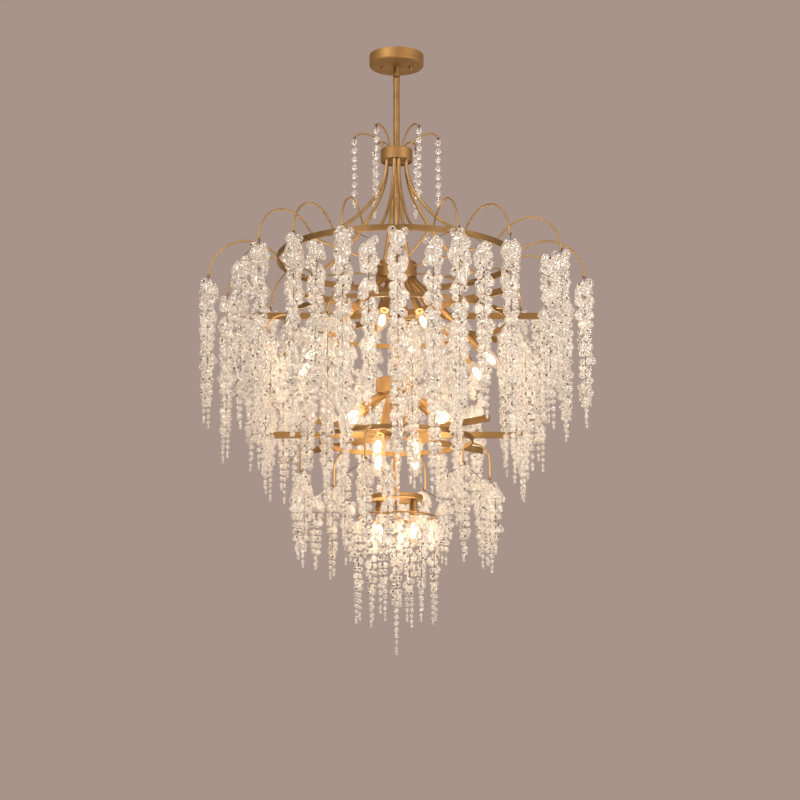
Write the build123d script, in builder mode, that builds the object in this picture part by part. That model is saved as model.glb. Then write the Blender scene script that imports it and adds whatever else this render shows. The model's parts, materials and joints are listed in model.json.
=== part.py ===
"""A waterfall crystal chandelier on a stem, hung from a ceiling canopy.

Millimetres. The origin is on the ceiling, in the middle of the canopy, with +Z up,
so the whole light hangs below zero. The front is -Y, and azimuths turn from +X.
"""

import os
from math import atan2, cos, degrees, hypot, radians, sin

from build123d import *

# Ceiling fixing
CANOPY_DIAMETER = 140
CANOPY_HEIGHT = 30
CANOPY_WALL = 1.5
CANOPY_EDGE_RADIUS = 5
CROSSBAR_LENGTH = 112
CROSSBAR_WIDTH = 22
CROSSBAR_THICKNESS = 3
BOX_SCREW_SPACING = 89
BOX_SCREW_HOLE = 5
STUD_SPACING = 73
STUD_DIAMETER = 5
STUD_REACH_IN_NUT = 6
CAP_NUT_DIAMETER = 10
CAP_NUT_HEIGHT = 9
NIPPLE_DIAMETER = 10
NIPPLE_BORE = 6
NIPPLE_REACH_IN_SOCKET = 12

# Hang-straight swivel
SOCKET_DIAMETER = 17
SOCKET_FLOOR = 4
BALL_DIAMETER = 12.8
BALL_NECK_DIAMETER = 7
BALL_BORE = 4
BALL_LIP_DEPTH = 4
COLLAR_BELOW_BALL = 8
COLLAR_HEIGHT = 14

# Stem and crown hub
STEM_DIAMETER = 16
STEM_BORE = 13
DOWNROD_LENGTH = 179
CROWN_HUB_DIAMETER = 81
CROWN_HUB_HEIGHT = 31
CROWN_HUB_PLATE = 4
CROWN_HUB_WALL = 3
CROWN_HUB_RECESS = 2
CROWN_HUB_EDGE_RADIUS = 2
WIRE_PASSAGE = 10
COLUMN_LENGTH = 866
COLUMN_COLLAR_DROP = 91
COLUMN_COLLAR_DIAMETER = 19
COLUMN_COLLAR_HEIGHT = 8

# Crown wires and their bead strands
CROWN_COUNT = 6
CROWN_WIRE_DIAMETER = 5
CROWN_FOOT_RADIUS = 30
CROWN_APEX_RADIUS = 88
CROWN_RISE = 44
CROWN_TIP_RADIUS = 107
CROWN_TIP_DROP = 10

# Main arms and top ring
ARM_AZIMUTHS = (40, 80, 100, 140, 220, 260, 280, 320)
ARM_DIAMETER = 9
ARM_FOOT_RADIUS = 32
ARM_BEND_RADIUS = 65
ARM_BEND_DROP = 101
TOP_RING_RADIUS = 300
TOP_RING_DROP = 545
RING_THICKNESS = 5
TOP_RING_HEIGHT = 15
STRUT_DIAMETER = 5
STRUT_TURN = 6

# Lamp hubs on the column
LAMP_HUB_DIAMETER = 103
LAMP_HUB_HEIGHT = 40
LAMP_HUB_EDGE_RADIUS = 4
LAMP_HUB_WALL = 3
LAMP_HUB_LIFT = 8
LOWER_LAMP_HUB_DROP = 301
BOTTOM_HUB_DIAMETER = 132
BOTTOM_HUB_HEIGHT = 12

# Middle and lower tiers
SPOKE_COUNT = 8
SPOKE_HEIGHT = 16
SPOKE_THICKNESS = 5.5
TIER_RING_HEIGHT = 12
MID_TIER_DROP = 691
MID_SPOKE_REACH = 372
MID_RING_RADIUS = 280
LOWER_TIER_DROP = 996
LOWER_SPOKE_REACH = 315
LOWER_RING_RADIUS = 190

# Arched wires that carry the crystal
ARCH_WIRE_DIAMETER = 5
OUTER_AZIMUTHS = (
    0, 22, 45, 67.5, 90, 112.5, 135, 157.5,
    180, 226.5, 239.3, 254.5, 270, 287.5, 304, 326.5,
)
OUTER_ARCH_FOOT_RUN = 83
OUTER_ARCH_RISE = 42
OUTER_ARCH_RADIUS = 92
MID_ARCH_COUNT = 8
MID_ARCH_TURN = 15
MID_ARCH_RADIUS = 48
LOWER_ARCH_COUNT = 6
LOWER_ARCH_TURN = 12
LOWER_ARCH_RADIUS = 45
LOWER_ARCH_TAIL = 40
PEG_DIAMETER = 3
PEG_CLEARANCE = 0.3
PEG_STOP_DIAMETER = 5
PEG_STOP_LENGTH = 1.2
EYE_DIAMETER = 9
EYE_SIDES = 8
EYE_THICKNESS = 2.4

# Lamps
LAMP_TUBE_DIAMETER = 16
LAMP_TUBE_BORE = 13
LAMP_FOOT_RADIUS = 38
RING_LAMP_COUNT = 8
UPPER_LAMP_TURN = 30
LOWER_LAMP_TURN = 22.5
UPPER_STEEP_LAMP = (135, 141)
UPPER_WIDE_LAMP = (240, 221)
LOWER_STEEP_LAMP = (120, 152)
LOWER_WIDE_LAMP = (122, 62)
BOTTOM_LAMP_RADIUS = 45
BOTTOM_LAMP_TURN = -20
BOTTOM_LAMP_TUBE = 10
LAMP_SOCKET_DIAMETER = 20
LAMP_SOCKET_LENGTH = 30
LAMP_SOCKET_BORE = 13
LAMP_SOCKET_FLOOR = 4
BULB_DIAMETER = 32
BULB_LENGTH = 74
BULB_BASE_DIAMETER = 12
BULB_BASE_GAP = 1
BULB_BELLY = 26
BULB_TIP_RADIUS = 3

# Crystal bunches
BUNCH_WIRE = 2.6
WHORL_PITCH = 44
WHORL_RADIUS = 28
WHORL_SHRINK = 0.06
DROP_COUNT = 3
DROP_LENGTH = 60
DROP_WIDTH = 27
DROP_BELLY = 0.62
DROP_SIDES = 4
BEAD_PITCH = 21
BEAD_DIAMETER = 13
BEAD_WAIST = 2.2
BEAD_BELLY = 0.5
BEAD_SIDES = 4
BUNCH_TOP_GAP = 12
SHORT_BUNCH = (392, 6)
MEDIUM_BUNCH = (450, 7)
LONG_BUNCH = (526, 8)
FRONT_BUNCH = (660, 10)
LEFT_SIDE_STRINGS = ((-62, 452, 7),)
RIGHT_SIDE_STRINGS = ((62, 450, 7),)
BOTH_SIDE_STRINGS = ((-64, 452, 7), (60, 450, 7))
MIDDLE_SIDE_STRINGS = ((-54, 350, 6), (54, 316, 5))
LONG_MIDDLE_BUNCH = (460, 7)
LONG_MIDDLE_SIDE_STRINGS = ((-54, 430, 7), (54, 400, 6))
LOWER_BUNCH = (240, 3)
LOWER_SIDE_STRINGS = ((-54, 200, 3), (54, 222, 3))
SIDE_STRING_DROP = 34
CROWN_STRAND_LENGTH = 188
TASSEL_HOOP_RADIUS = 95
TASSEL_HOOP_DIAMETER = 5
TASSEL_STEM_LENGTH = 30
TASSEL_STEM_DIAMETER = 5
TASSEL_STRAND_COUNT = 6
TASSEL_STRAND_TURN = 10
TASSEL_BUNCH = (262, 3)
TASSEL_WHORL_SIZE = 0.85
TASSEL_CENTRE_LENGTH = 337
FIT = 0.1
TURNING_FIT = 0.3

# Heights, worked out from the sizes above
canopy_bottom = -CANOPY_HEIGHT
ball_cavity = BALL_DIAMETER / 2 + TURNING_FIT
socket_top = canopy_bottom - TURNING_FIT
socket_bore_end = socket_top - NIPPLE_REACH_IN_SOCKET - TURNING_FIT
ball_centre = socket_bore_end - SOCKET_FLOOR - ball_cavity
socket_bottom = ball_centre - BALL_LIP_DEPTH
collar_top = ball_centre - COLLAR_BELOW_BALL
collar_bottom = collar_top - COLLAR_HEIGHT
crown_hub_top = collar_bottom - DOWNROD_LENGTH
crown_hub_bottom = crown_hub_top - CROWN_HUB_HEIGHT
crown_plate_bottom = crown_hub_bottom + CROWN_HUB_RECESS
column_bottom = crown_plate_bottom - COLUMN_LENGTH
top_ring_top = -TOP_RING_DROP + TOP_RING_HEIGHT / 2
top_ring_inside = TOP_RING_RADIUS - RING_THICKNESS / 2
upper_hub_top = -TOP_RING_DROP - LAMP_HUB_LIFT
upper_hub_bottom = upper_hub_top - LAMP_HUB_HEIGHT
lower_hub_bottom = upper_hub_bottom - LOWER_LAMP_HUB_DROP
tier_ring_below = SPOKE_HEIGHT / 2 + FIT + TIER_RING_HEIGHT / 2
mid_ring_centre = -MID_TIER_DROP - tier_ring_below
lower_ring_centre = -LOWER_TIER_DROP - tier_ring_below
peg_offset = ARCH_WIRE_DIAMETER / 2 + PEG_CLEARANCE + EYE_THICKNESS / 2
peg_length = peg_offset + EYE_THICKNESS / 2 + PEG_CLEARANCE

os.makedirs("parts", exist_ok=True)


def save(part, name):
    """Label a finished piece and write it under its name."""
    part.label = name
    export_step(part, f"parts/{name}.step")


def evenly(count, first):
    """Angles spread evenly round the full circle."""
    return [first + 360 / count * step for step in range(count)]


def around(angles):
    """Places turned about the vertical axis."""
    return [Location((0, 0, 0), (0, 0, angle)) for angle in angles]


def copies(shape, places):
    """The same piece at several places, as separate solids."""
    with BuildPart() as group:
        with Locations(places):
            add(shape)
    return group.part


def turned_piece(outline):
    """A piece turned about the vertical axis from its radius and height points."""
    with BuildPart() as piece:
        with BuildSketch(Plane.XZ):
            with BuildLine():
                Polyline(*outline, close=True)
            make_face()
        revolve(axis=Axis.Z)
    return piece.part


def tube(radius, bore_radius, top, bottom):
    """An upright pipe on the axis."""
    return turned_piece([(bore_radius, top), (radius, top), (radius, bottom), (bore_radius, bottom)])


def rod_along(path, diameter):
    """A round rod that follows a path."""
    with BuildPart() as rod:
        with BuildSketch(Plane(path @ 0, z_dir=path % 0)):
            Circle(diameter / 2)
        sweep(path=path)
    return rod.part


def flat_ring(radius, height, centre):
    """A band bent to a circle, standing on edge."""
    inner = radius - RING_THICKNESS / 2
    return tube(inner + RING_THICKNESS, inner, centre + height / 2, centre - height / 2)


# Mounting crossbar with the two ceiling box screws in line with the studs
with BuildPart() as crossbar:
    with BuildSketch(Plane.XY.offset(-CROSSBAR_THICKNESS)):
        SlotOverall(CROSSBAR_LENGTH, CROSSBAR_WIDTH)
        Circle(NIPPLE_DIAMETER / 2 + FIT, mode=Mode.SUBTRACT)
        with GridLocations(BOX_SCREW_SPACING, 0, 2, 1):
            Circle(BOX_SCREW_HOLE / 2, mode=Mode.SUBTRACT)
        with GridLocations(STUD_SPACING, 0, 2, 1):
            Circle(STUD_DIAMETER / 2 + FIT, mode=Mode.SUBTRACT)
    extrude(amount=CROSSBAR_THICKNESS)
save(crossbar.part, "mounting_crossbar")

# Threaded studs from the crossbar down into the cap nuts
with BuildPart() as studs:
    with BuildSketch(Plane.XY):
        with GridLocations(STUD_SPACING, 0, 2, 1):
            Circle(STUD_DIAMETER / 2)
    extrude(amount=canopy_bottom - STUD_REACH_IN_NUT)
save(studs.part, "canopy_studs")

# Canopy cup with a rounded lower edge
with BuildPart() as canopy:
    with BuildSketch(Plane.XY):
        Circle(CANOPY_DIAMETER / 2)
    extrude(amount=-CANOPY_HEIGHT)
    fillet(canopy.edges().group_by(Axis.Z)[0], CANOPY_EDGE_RADIUS)
    offset(amount=-CANOPY_WALL, openings=canopy.faces().sort_by(Axis.Z)[-1])
    with BuildSketch(Plane.XY.offset(canopy_bottom)):
        Circle(NIPPLE_DIAMETER / 2 + FIT)
        with GridLocations(STUD_SPACING, 0, 2, 1):
            Circle(STUD_DIAMETER / 2 + FIT)
    extrude(amount=CANOPY_HEIGHT, mode=Mode.SUBTRACT)
save(canopy.part, "canopy")

# Domed cap nuts
cap_dome = CAP_NUT_DIAMETER / 2
with BuildPart() as cap_nut:
    with BuildSketch(Plane.XZ):
        with BuildLine():
            Line((0, 0), (cap_dome, 0))
            Line((cap_dome, 0), (cap_dome, cap_dome - CAP_NUT_HEIGHT))
            CenterArc((0, cap_dome - CAP_NUT_HEIGHT), cap_dome, 0, -90)
            Line((0, -CAP_NUT_HEIGHT), (0, 0))
        make_face()
    revolve(axis=Axis.Z)
    with BuildSketch(Plane.XY):
        Circle(STUD_DIAMETER / 2 + FIT)
    extrude(amount=-STUD_REACH_IN_NUT - FIT, mode=Mode.SUBTRACT)
nut_places = [Location((side * STUD_SPACING / 2, 0, canopy_bottom)) for side in (-1, 1)]
save(copies(cap_nut.part, nut_places), "cap_nuts")

# Hollow nipple from the crossbar into the swivel socket
nipple_end = socket_top - NIPPLE_REACH_IN_SOCKET
save(tube(NIPPLE_DIAMETER / 2, NIPPLE_BORE / 2, 0, nipple_end), "hanger_nipple")

# Swivel socket: threaded bore above, ball seat below with a lip under the ball
with BuildPart() as socket:
    with BuildSketch(Plane.XY.offset(socket_top)):
        Circle(SOCKET_DIAMETER / 2)
    extrude(amount=socket_bottom - socket_top)
    with BuildSketch(Plane.XY.offset(socket_top)):
        Circle(NIPPLE_DIAMETER / 2 + TURNING_FIT)
    extrude(amount=socket_bore_end - socket_top, mode=Mode.SUBTRACT)
    with BuildSketch(Plane.XY.offset(socket_top)):
        Circle(NIPPLE_BORE / 2)
    extrude(amount=ball_centre - socket_top, mode=Mode.SUBTRACT)
    with Locations((0, 0, ball_centre)):
        Sphere(ball_cavity, mode=Mode.SUBTRACT)
save(socket.part, "swivel_socket")

# Swivel ball, neck and the collar that takes the downrod
with BuildPart() as ball:
    with Locations((0, 0, ball_centre)):
        Sphere(BALL_DIAMETER / 2)
    with BuildSketch(Plane.XY.offset(ball_centre)):
        Circle(BALL_NECK_DIAMETER / 2)
    extrude(amount=collar_top - ball_centre)
    with BuildSketch(Plane.XY.offset(collar_top)):
        Circle(SOCKET_DIAMETER / 2)
    extrude(amount=-COLLAR_HEIGHT)
    with BuildSketch(Plane.XY.offset(ball_centre + BALL_DIAMETER)):
        Circle(BALL_BORE / 2)
    extrude(amount=collar_bottom - ball_centre - BALL_DIAMETER, mode=Mode.SUBTRACT)
save(ball.part, "swivel_ball")

# Downrod from the collar to the crown hub
save(tube(STEM_DIAMETER / 2, STEM_BORE / 2, collar_bottom, crown_hub_top), "downrod")

# Crown hub: a drum with a floor plate set a little inside its rim
crown_radius = CROWN_HUB_DIAMETER / 2
crown_inside = crown_radius - CROWN_HUB_WALL
with BuildPart() as crown_hub:
    with BuildSketch(Plane.XY.offset(crown_hub_bottom)):
        Circle(crown_radius)
    extrude(amount=CROWN_HUB_HEIGHT)
    fillet(crown_hub.edges().group_by(Axis.Z)[-1], CROWN_HUB_EDGE_RADIUS)
    with BuildSketch(Plane.XY.offset(crown_hub_bottom)):
        Circle(crown_inside)
    extrude(amount=CROWN_HUB_RECESS, mode=Mode.SUBTRACT)
    with BuildSketch(Plane.XY.offset(crown_plate_bottom + CROWN_HUB_PLATE)):
        Circle(crown_inside)
    extrude(amount=crown_hub_top - crown_plate_bottom - 2 * CROWN_HUB_PLATE, mode=Mode.SUBTRACT)
    with BuildSketch(Plane.XY.offset(crown_hub_bottom)):
        Circle(WIRE_PASSAGE / 2)
    extrude(amount=CROWN_HUB_HEIGHT, mode=Mode.SUBTRACT)
save(crown_hub.part, "crown_hub")

# Column from the crown hub to the bottom lamp hub, with one joint collar
collar_at = crown_plate_bottom - COLUMN_COLLAR_DROP
save(
    turned_piece(
        [
            (STEM_BORE / 2, crown_plate_bottom),
            (STEM_DIAMETER / 2, crown_plate_bottom),
            (STEM_DIAMETER / 2, collar_at),
            (COLUMN_COLLAR_DIAMETER / 2, collar_at),
            (COLUMN_COLLAR_DIAMETER / 2, collar_at - COLUMN_COLLAR_HEIGHT),
            (STEM_DIAMETER / 2, collar_at - COLUMN_COLLAR_HEIGHT),
            (STEM_DIAMETER / 2, column_bottom),
            (STEM_BORE / 2, column_bottom),
        ]
    ),
    "centre_column",
)


def peg_at(tip):
    """A short peg along +Y at a wire's tip, with a stop that keeps the eye on it."""
    with BuildPart() as peg:
        with BuildSketch(Plane(tip, z_dir=(0, 1, 0))):
            Circle(PEG_DIAMETER / 2)
        extrude(amount=peg_length)
        with BuildSketch(Plane(tip + Vector(0, peg_length, 0), z_dir=(0, 1, 0))):
            Circle(PEG_STOP_DIAMETER / 2)
        extrude(amount=PEG_STOP_LENGTH)
        with Locations(tip):
            Sphere(ARCH_WIRE_DIAMETER / 2)
    return peg.part


def hooked_wire(path, diameter):
    """A bent wire whose far end carries a peg for one hanging piece."""
    with BuildPart() as wire:
        add(rod_along(path, diameter))
        add(peg_at(path @ 1))
    return wire.part


# Crown wires rise from the hub and bend over to their tips
crown_apex = (CROWN_APEX_RADIUS, crown_hub_top + CROWN_RISE)
crown_tip = (CROWN_TIP_RADIUS, crown_hub_top + CROWN_RISE - CROWN_TIP_DROP)
with BuildLine(Plane.XZ) as crown_path:
    crown_bend = TangentArc(crown_apex, (CROWN_FOOT_RADIUS, crown_hub_top), tangent=(-1, 0))
    crown_end = TangentArc(crown_apex, crown_tip, tangent=(1, 0))
crown_azimuths = evenly(CROWN_COUNT, 0)
crown_line = Wire([crown_bend.reversed(), crown_end])
crown_wire = hooked_wire(crown_line, CROWN_WIRE_DIAMETER)
with BuildPart() as crown_wires:
    with Locations(around(crown_azimuths)):
        add(crown_wire)
    with BuildSketch(Plane.XY.offset(crown_hub_top)):
        Circle(crown_radius)
    extrude(amount=-CROWN_HUB_HEIGHT, mode=Mode.SUBTRACT)
save(crown_wires.part, "crown_wires")

# Main arms drop from the hub and flare out to the inside of the top ring
with BuildLine(Plane.XZ) as arm_path:
    arm_drop = TangentArc(
        (ARM_FOOT_RADIUS, crown_plate_bottom),
        (ARM_BEND_RADIUS, crown_plate_bottom - ARM_BEND_DROP),
        tangent=(0, -1),
    )
    arm_flare_heading = arm_drop % 1
    TangentArc(
        (ARM_BEND_RADIUS, crown_plate_bottom - ARM_BEND_DROP),
        (TOP_RING_RADIUS, -TOP_RING_DROP),
        tangent=(arm_flare_heading.X, arm_flare_heading.Z),
    )
with BuildPart() as main_arms:
    with Locations(around(ARM_AZIMUTHS)):
        add(rod_along(arm_path.wire(), ARM_DIAMETER))
    with Locations((0, 0, crown_plate_bottom)):
        Cylinder(
            top_ring_inside,
            crown_plate_bottom + TOP_RING_DROP + TOP_RING_HEIGHT,
            align=(Align.CENTER, Align.CENTER, Align.MAX),
            mode=Mode.INTERSECT,
        )
save(main_arms.part, "main_arms")

# Top ring
save(flat_ring(TOP_RING_RADIUS, TOP_RING_HEIGHT, -TOP_RING_DROP), "top_ring")

# Lamp hubs threaded on the column
with BuildPart() as lamp_hub:
    with BuildSketch(Plane.XY):
        Circle(LAMP_HUB_DIAMETER / 2)
    extrude(amount=LAMP_HUB_HEIGHT)
    fillet(lamp_hub.edges().group_by(Axis.Z)[-1], LAMP_HUB_EDGE_RADIUS)
    with BuildSketch(Plane.XY.offset(LAMP_HUB_WALL)):
        Circle(LAMP_HUB_DIAMETER / 2 - LAMP_HUB_WALL)
    extrude(amount=LAMP_HUB_HEIGHT - LAMP_HUB_WALL - LAMP_HUB_EDGE_RADIUS, mode=Mode.SUBTRACT)
    with BuildSketch(Plane.XY):
        Circle(STEM_DIAMETER / 2 + FIT)
    extrude(amount=LAMP_HUB_HEIGHT, mode=Mode.SUBTRACT)
hub_places = [Location((0, 0, upper_hub_bottom)), Location((0, 0, lower_hub_bottom))]
save(copies(lamp_hub.part, hub_places), "lamp_hubs")

# Struts from the top ring to the upper lamp hub, trimmed on both round faces
hub_radius = LAMP_HUB_DIAMETER / 2
strut_low = (0, 0, upper_hub_bottom + LAMP_HUB_HEIGHT / 2)
strut_high = Vector(TOP_RING_RADIUS, 0, -TOP_RING_DROP)
strut_span = 2 * (LAMP_HUB_HEIGHT + LAMP_HUB_LIFT)
with BuildPart() as strut:
    with BuildSketch(Plane(strut_low, z_dir=strut_high - Vector(strut_low))):
        Circle(STRUT_DIAMETER / 2)
    extrude(amount=(strut_high - Vector(strut_low)).length)
    with Locations((0, 0, -TOP_RING_DROP)):
        Cylinder(top_ring_inside, strut_span, mode=Mode.INTERSECT)
        Cylinder(hub_radius, strut_span, mode=Mode.SUBTRACT)
strut_azimuths = [azimuth + STRUT_TURN for azimuth in ARM_AZIMUTHS]
save(copies(strut.part, around(strut_azimuths)), "ring_struts")

# Flat spokes on edge round the column, in two tiers
with BuildPart() as tier_spokes:
    for drop, reach in ((MID_TIER_DROP, MID_SPOKE_REACH), (LOWER_TIER_DROP, LOWER_SPOKE_REACH)):
        with BuildSketch(Plane.XY.offset(-drop - SPOKE_HEIGHT / 2)):
            with PolarLocations(0, SPOKE_COUNT):
                Rectangle(reach, SPOKE_THICKNESS, align=(Align.MIN, Align.CENTER))
            Circle(STEM_DIAMETER / 2 + FIT, mode=Mode.SUBTRACT)
        extrude(amount=SPOKE_HEIGHT)
save(tier_spokes.part, "tier_spokes")

# Band rings brazed under the spokes
with BuildPart() as tier_rings:
    add(flat_ring(MID_RING_RADIUS, TIER_RING_HEIGHT, mid_ring_centre))
    add(flat_ring(LOWER_RING_RADIUS, TIER_RING_HEIGHT, lower_ring_centre))
save(tier_rings.part, "tier_rings")

# Bottom lamp hub closes the column and carries the tassel's peg in a central eye
tassel_pivot = column_bottom - BOTTOM_HUB_HEIGHT - EYE_DIAMETER
with BuildPart() as bottom_hub:
    with BuildSketch(Plane.XY.offset(column_bottom)):
        Circle(BOTTOM_HUB_DIAMETER / 2)
    extrude(amount=-BOTTOM_HUB_HEIGHT)
    fillet(bottom_hub.edges().group_by(Axis.Z)[0], LAMP_HUB_EDGE_RADIUS)
    with BuildSketch(Plane.XY.offset(column_bottom - BOTTOM_HUB_HEIGHT)):
        with Locations((0, -peg_offset)):
            Circle(ARCH_WIRE_DIAMETER / 2)
    extrude(amount=tassel_pivot - column_bottom + BOTTOM_HUB_HEIGHT)
    add(peg_at(Vector(0, -peg_offset, tassel_pivot)))
save(bottom_hub.part, "bottom_lamp_hub")

# Outer arches rise from the top ring, bend over and end pointing down
outer_apex_radius = TOP_RING_RADIUS + OUTER_ARCH_FOOT_RUN
outer_apex = (outer_apex_radius, top_ring_top + OUTER_ARCH_RISE)
outer_tip = (outer_apex_radius + OUTER_ARCH_RADIUS, top_ring_top + OUTER_ARCH_RISE - OUTER_ARCH_RADIUS)
with BuildLine(Plane.XZ) as outer_path:
    outer_rise = TangentArc(outer_apex, (TOP_RING_RADIUS, top_ring_top), tangent=(-1, 0))
    outer_fall = TangentArc(outer_apex, outer_tip, tangent=(1, 0))
with BuildPart() as outer_arch:
    add(hooked_wire(Wire([outer_rise.reversed(), outer_fall]), ARCH_WIRE_DIAMETER))
    with Locations((TOP_RING_RADIUS, 0, top_ring_top)):
        Box(
            OUTER_ARCH_RADIUS,
            OUTER_ARCH_RADIUS,
            TOP_RING_HEIGHT,
            align=(Align.CENTER, Align.CENTER, Align.MAX),
            mode=Mode.SUBTRACT,
        )
save(copies(outer_arch.part, around(OUTER_AZIMUTHS)), "outer_arches")


def inner_arch(ring_radius, ring_centre, bend, tail):
    """A wire that leaves a tier ring level, bends down and may run on straight."""
    foot = (ring_radius, ring_centre)
    bend_start = (ring_radius + RING_THICKNESS, ring_centre)
    bend_end = (bend_start[0] + bend, ring_centre - bend)
    with BuildLine(Plane.XZ) as path:
        Line(foot, bend_start)
        TangentArc(bend_start, bend_end, tangent=(1, 0))
        if tail:
            Line(bend_end, (bend_end[0], bend_end[1] - tail))
    with BuildPart() as arch:
        add(hooked_wire(path.wire(), ARCH_WIRE_DIAMETER))
        with Locations((0, 0, ring_centre)):
            Cylinder(ring_radius + RING_THICKNESS / 2, TIER_RING_HEIGHT, mode=Mode.SUBTRACT)
    return arch.part


mid_arch = inner_arch(MID_RING_RADIUS, mid_ring_centre, MID_ARCH_RADIUS, 0)
lower_arch = inner_arch(LOWER_RING_RADIUS, lower_ring_centre, LOWER_ARCH_RADIUS, LOWER_ARCH_TAIL)
mid_tip = (MID_RING_RADIUS + RING_THICKNESS + MID_ARCH_RADIUS, mid_ring_centre - MID_ARCH_RADIUS)
lower_tip = (
    LOWER_RING_RADIUS + RING_THICKNESS + LOWER_ARCH_RADIUS,
    lower_ring_centre - LOWER_ARCH_RADIUS - LOWER_ARCH_TAIL,
)
mid_azimuths = evenly(MID_ARCH_COUNT, MID_ARCH_TURN)
lower_azimuths = evenly(LOWER_ARCH_COUNT, LOWER_ARCH_TURN)
with BuildPart() as inner_arches:
    with Locations(around(mid_azimuths)):
        add(mid_arch)
    with Locations(around(lower_azimuths)):
        add(lower_arch)
save(inner_arches.part, "inner_arches")

# Lamp socket and bulb, built upright and hanging from the end of a lamp tube
socket_radius = LAMP_SOCKET_DIAMETER / 2
with BuildPart() as lamp_socket:
    with BuildSketch(Plane.XY):
        Circle(socket_radius)
    extrude(amount=-LAMP_SOCKET_LENGTH)
    with BuildSketch(Plane.XY.offset(-LAMP_SOCKET_LENGTH)):
        Circle(LAMP_SOCKET_BORE / 2)
    extrude(amount=LAMP_SOCKET_LENGTH - LAMP_SOCKET_FLOOR, mode=Mode.SUBTRACT)

bulb_seat = -LAMP_SOCKET_LENGTH
bulb_neck = BULB_BASE_DIAMETER / 2
bulb_widest = (BULB_DIAMETER / 2, bulb_seat - BULB_BELLY)
bulb_tip = bulb_seat - BULB_LENGTH
with BuildPart() as bulb:
    with BuildSketch(Plane.XZ):
        with BuildLine():
            Line((0, -LAMP_SOCKET_FLOOR - BULB_BASE_GAP), (bulb_neck, -LAMP_SOCKET_FLOOR - BULB_BASE_GAP))
            Line((bulb_neck, -LAMP_SOCKET_FLOOR - BULB_BASE_GAP), (bulb_neck, bulb_seat))
            TangentArc(bulb_widest, (bulb_neck, bulb_seat), tangent=(0, 1))
            TangentArc(bulb_widest, (BULB_TIP_RADIUS, bulb_tip), tangent=(0, -1))
            Line((BULB_TIP_RADIUS, bulb_tip), (0, bulb_tip))
            Line((0, bulb_tip), (0, -LAMP_SOCKET_FLOOR - BULB_BASE_GAP))
        make_face()
    revolve(axis=Axis.Z)


def slanted_lamp(foot, run, fall, azimuth):
    """Tube, socket place and bulb place of a lamp that leaves a hub's underside."""
    lean = degrees(atan2(run, fall))
    heading = Vector(sin(radians(lean)), 0, -cos(radians(lean)))
    tube_length = hypot(run, fall) - LAMP_SOCKET_LENGTH - BULB_LENGTH / 2
    with BuildPart() as lamp_tube:
        with BuildSketch(Plane(Vector(*foot) - heading * LAMP_TUBE_DIAMETER, z_dir=heading)):
            Circle(LAMP_TUBE_DIAMETER / 2)
            Circle(LAMP_TUBE_BORE / 2, mode=Mode.SUBTRACT)
        extrude(amount=tube_length + LAMP_TUBE_DIAMETER)
        with Locations(foot):
            Box(
                LAMP_HUB_DIAMETER,
                LAMP_HUB_DIAMETER,
                LAMP_HUB_HEIGHT,
                align=(Align.CENTER, Align.CENTER, Align.MIN),
                mode=Mode.SUBTRACT,
            )
    end = Vector(*foot) + heading * tube_length
    turn = Location((0, 0, 0), (0, 0, azimuth))
    return turn, lamp_tube.part, turn * Location(end, (0, -lean, 0))


def lamp_ring(hub_bottom, turn, steep, wide):
    """Eight lamps under one hub: pairs of steep tubes front and back, wide pairs at the sides."""
    foot = (LAMP_FOOT_RADIUS, 0, hub_bottom)
    half_pair = 180 / RING_LAMP_COUNT
    lamps = []
    for azimuth in evenly(RING_LAMP_COUNT, turn):
        pair_angle = radians(azimuth - turn + half_pair)
        reach, fall = steep if abs(sin(pair_angle)) > abs(cos(pair_angle)) else wide
        lamps.append(slanted_lamp(foot, reach - LAMP_FOOT_RADIUS, fall, azimuth))
    return lamps


lamps = lamp_ring(upper_hub_bottom, UPPER_LAMP_TURN, UPPER_STEEP_LAMP, UPPER_WIDE_LAMP)
lamps += lamp_ring(lower_hub_bottom, LOWER_LAMP_TURN, LOWER_STEEP_LAMP, LOWER_WIDE_LAMP)
bottom_hub_face = column_bottom - BOTTOM_HUB_HEIGHT
with BuildPart() as short_tube:
    with BuildSketch(Plane((BOTTOM_LAMP_RADIUS, 0, bottom_hub_face))):
        Circle(LAMP_TUBE_DIAMETER / 2)
        Circle(LAMP_TUBE_BORE / 2, mode=Mode.SUBTRACT)
    extrude(amount=-BOTTOM_LAMP_TUBE)
for turn_about in around((BOTTOM_LAMP_TURN, BOTTOM_LAMP_TURN + 180)):
    lamp_end = Location((BOTTOM_LAMP_RADIUS, 0, bottom_hub_face - BOTTOM_LAMP_TUBE))
    lamps.append((turn_about, short_tube.part, turn_about * lamp_end))

with BuildPart() as lamp_tubes:
    for turn_about, lamp_tube, lamp_end in lamps:
        with Locations(turn_about):
            add(lamp_tube)
save(lamp_tubes.part, "lamp_tubes")
lamp_ends = [lamp_end for turn_about, lamp_tube, lamp_end in lamps]
save(copies(lamp_socket.part, lamp_ends), "lamp_sockets")
save(copies(bulb.part, lamp_ends), "bulbs")


def hanging_eye():
    """The flat eye at the top of a hanging piece, round a peg along Y at the origin."""
    with BuildPart() as eye:
        with BuildSketch(Plane.XZ.offset(-EYE_THICKNESS / 2)):
            RegularPolygon(EYE_DIAMETER / 2, EYE_SIDES, rotation=180 / EYE_SIDES)
            with Locations((0, -EYE_DIAMETER / 2)):
                Rectangle(BUNCH_WIRE, EYE_DIAMETER / 2)
            Circle(PEG_DIAMETER / 2 + PEG_CLEARANCE, mode=Mode.SUBTRACT)
        extrude(amount=EYE_THICKNESS)
    return eye.part


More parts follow.
